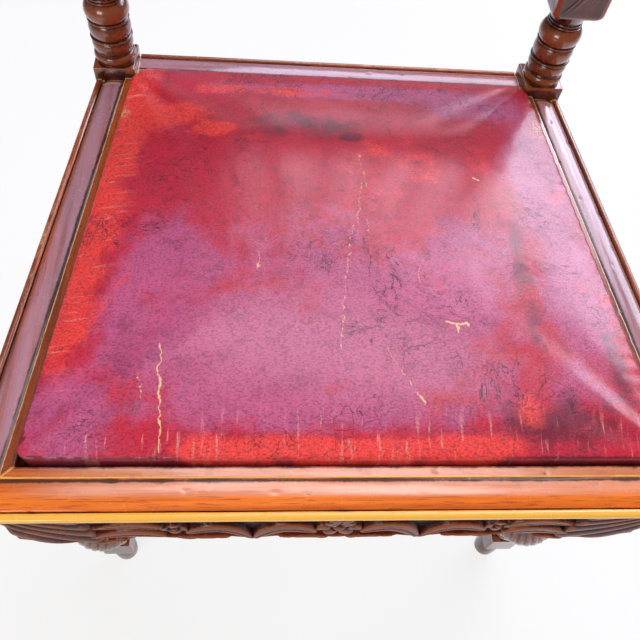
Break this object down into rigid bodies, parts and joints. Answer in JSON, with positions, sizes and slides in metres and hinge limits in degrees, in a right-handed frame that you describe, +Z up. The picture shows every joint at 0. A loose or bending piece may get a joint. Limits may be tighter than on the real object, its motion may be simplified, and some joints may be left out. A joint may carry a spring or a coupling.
{
  "type": "side chair",
  "caption": "Side chair with ring-turned back posts, a moulded seat frame over a carved apron, and a loose leather seat that lifts out.",
  "frame": {"origin": "on the floor, under the middle of the chair's outline in plan", "axes": "+Z up, the chair's front towards -Y, +X to the right seen from the front"},
  "size_m": [0.5032, 0.4748, 1.0279],
  "materials": {
    "dark_mahogany": "worn polish, dark red-brown",
    "mahogany": "worn gloss polish, red-brown",
    "beech": "bare, unpolished",
    "jute": "woven",
    "stuffing": "matted fibre",
    "red_leather": "glossy, worn and crackled"
  },
  "bodies": {
    "chair": {"back_post_left": "dark_mahogany", "back_post_right": "dark_mahogany", "front_leg_left": "dark_mahogany", "front_leg_right": "dark_mahogany", "front_apron": "dark_mahogany", "crest_rail": "dark_mahogany", "lower_back_rail": "dark_mahogany", "finial_left": "dark_mahogany", "finial_right": "dark_mahogany", "side_stretcher_left": "dark_mahogany", "side_stretcher_right": "dark_mahogany", "cross_stretcher": "dark_mahogany", "spindle_1": "dark_mahogany", "spindle_2": "dark_mahogany", "spindle_3": "dark_mahogany", "spindle_4": "dark_mahogany", "spindle_5": "dark_mahogany", "moulding_front": "mahogany", "moulding_left": "mahogany", "moulding_right": "mahogany", "moulding_rear": "mahogany", "front_rail": "mahogany", "side_rail_left": "mahogany", "side_rail_right": "mahogany", "rear_rail": "mahogany", "seat_bearer_left": "beech", "seat_bearer_right": "beech", "seat_bearer_rear": "beech", "corner_block_front_left": "beech", "corner_block_front_right": "beech", "corner_block_rear_left": "beech", "corner_block_rear_right": "beech"},
    "seat": {"slip_rail_front": "beech", "slip_rail_rear": "beech", "slip_rail_left": "beech", "slip_rail_right": "beech", "web_long_1": "jute", "web_long_2": "jute", "web_long_3": "jute", "web_cross_1": "jute", "web_cross_2": "jute", "web_cross_3": "jute", "seat_hessian": "jute", "seat_pad": "stuffing", "seat_cover": "red_leather"}
  },
  "joints": [
    {"name": "seat_lift", "type": "slide", "parent": "chair", "child": "seat", "axis": [0, 0, 1], "range_m": [0, 0.06]}
  ]
}
